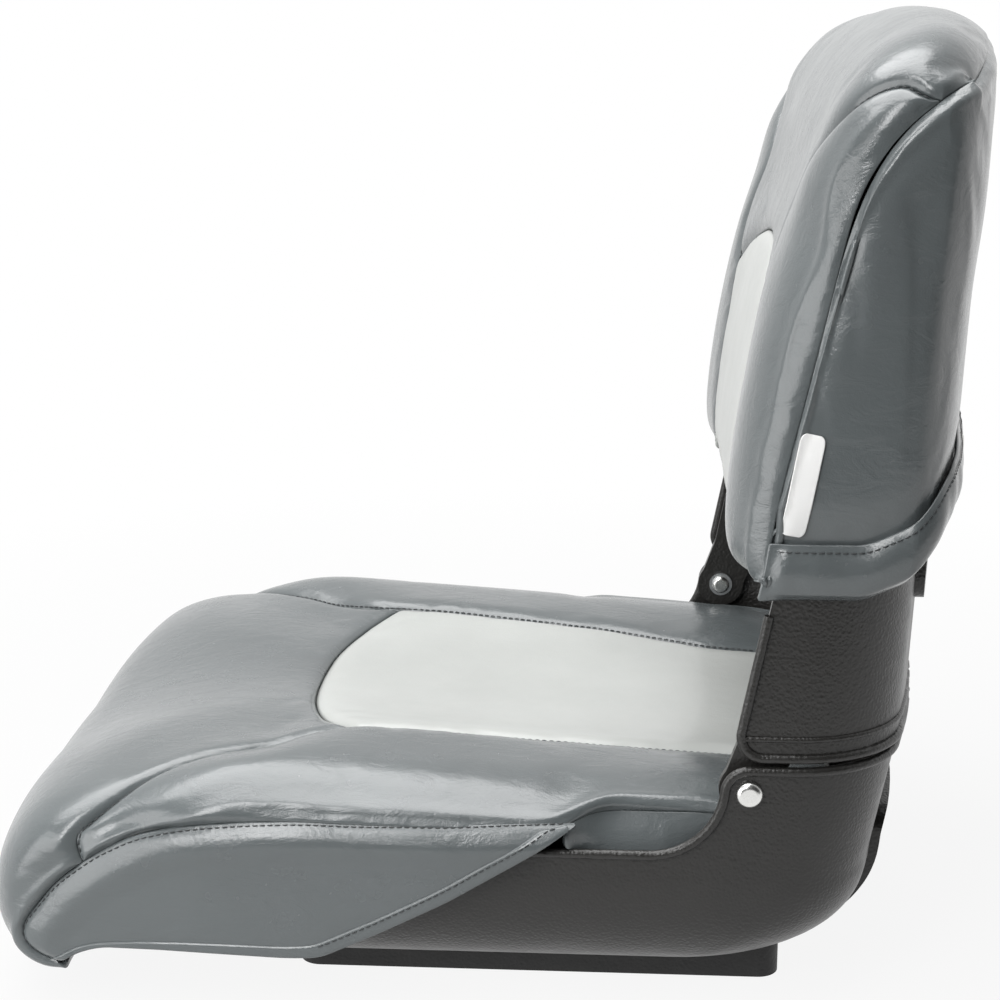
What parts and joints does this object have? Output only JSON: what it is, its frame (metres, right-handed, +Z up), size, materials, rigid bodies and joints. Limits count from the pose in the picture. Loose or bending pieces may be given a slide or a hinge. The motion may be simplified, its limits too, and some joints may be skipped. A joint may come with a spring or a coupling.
{
  "type": "folding boat seat",
  "caption": "Fold-down boat seat: moulded pan with rear cheeks, hinged back shell, padded vinyl seat and back cushions with light centre inserts, side skirts and a bolt-down plinth.",
  "frame": {"origin": "centre of the four-bolt pattern on the underside of the mounting plinth", "axes": "+Z up, -Y to the front of the seat, +X to the sitter's left"},
  "size_m": [0.4238, 0.547, 0.5289],
  "materials": {
    "black_shell": "fine pebble grain, satin",
    "vinyl_dark": "coated vinyl, fine grain, satin",
    "vinyl_light": "coated vinyl, fine grain, satin",
    "foam": "open-cell foam",
    "plywood": "sealed plywood",
    "brass_insert": "machined",
    "zinc_screw": "zinc plated",
    "bright_rivet": "polished stainless",
    "nylon": "natural nylon",
    "white_tag": "woven, blank"
  },
  "bodies": {
    "seat_base": {"seat_shell": "black_shell", "mounting_plinth": "black_shell", "mounting_inserts": "brass_insert", "plinth_screws": "zinc_screw", "plinth_nuts": "zinc_screw", "seat_board": "plywood", "seat_board_screws": "zinc_screw", "seat_foam": "foam", "seat_boxing": "vinyl_dark", "seat_insert_cover": "vinyl_light", "seat_front_cover": "vinyl_dark", "seat_bolster_left": "vinyl_dark", "seat_bolster_right": "vinyl_dark", "skirt_left": "vinyl_dark", "skirt_right": "vinyl_dark", "skirt_hem_left": "vinyl_dark", "skirt_hem_right": "vinyl_dark", "pivot_rivet_left": "bright_rivet", "pivot_rivet_right": "bright_rivet", "rivet_washers": "bright_rivet", "spacer_washers": "nylon"},
    "backrest": {"back_shell": "black_shell", "pivot_bushes": "nylon", "back_foam": "foam", "back_sock": "vinyl_dark", "back_insert_cover": "vinyl_light", "back_upper_cover": "vinyl_dark", "back_bolster_left": "vinyl_dark", "back_bolster_right": "vinyl_dark", "back_band": "vinyl_dark", "snap_caps": "bright_rivet", "snap_studs": "bright_rivet", "label_tag": "white_tag"}
  },
  "joints": [
    {"name": "back_fold", "type": "hinge", "parent": "seat_base", "child": "backrest", "pos_m": [0, 0.112, 0.133], "axis": [1, 0, 0], "range_deg": [0, 84]}
  ]
}
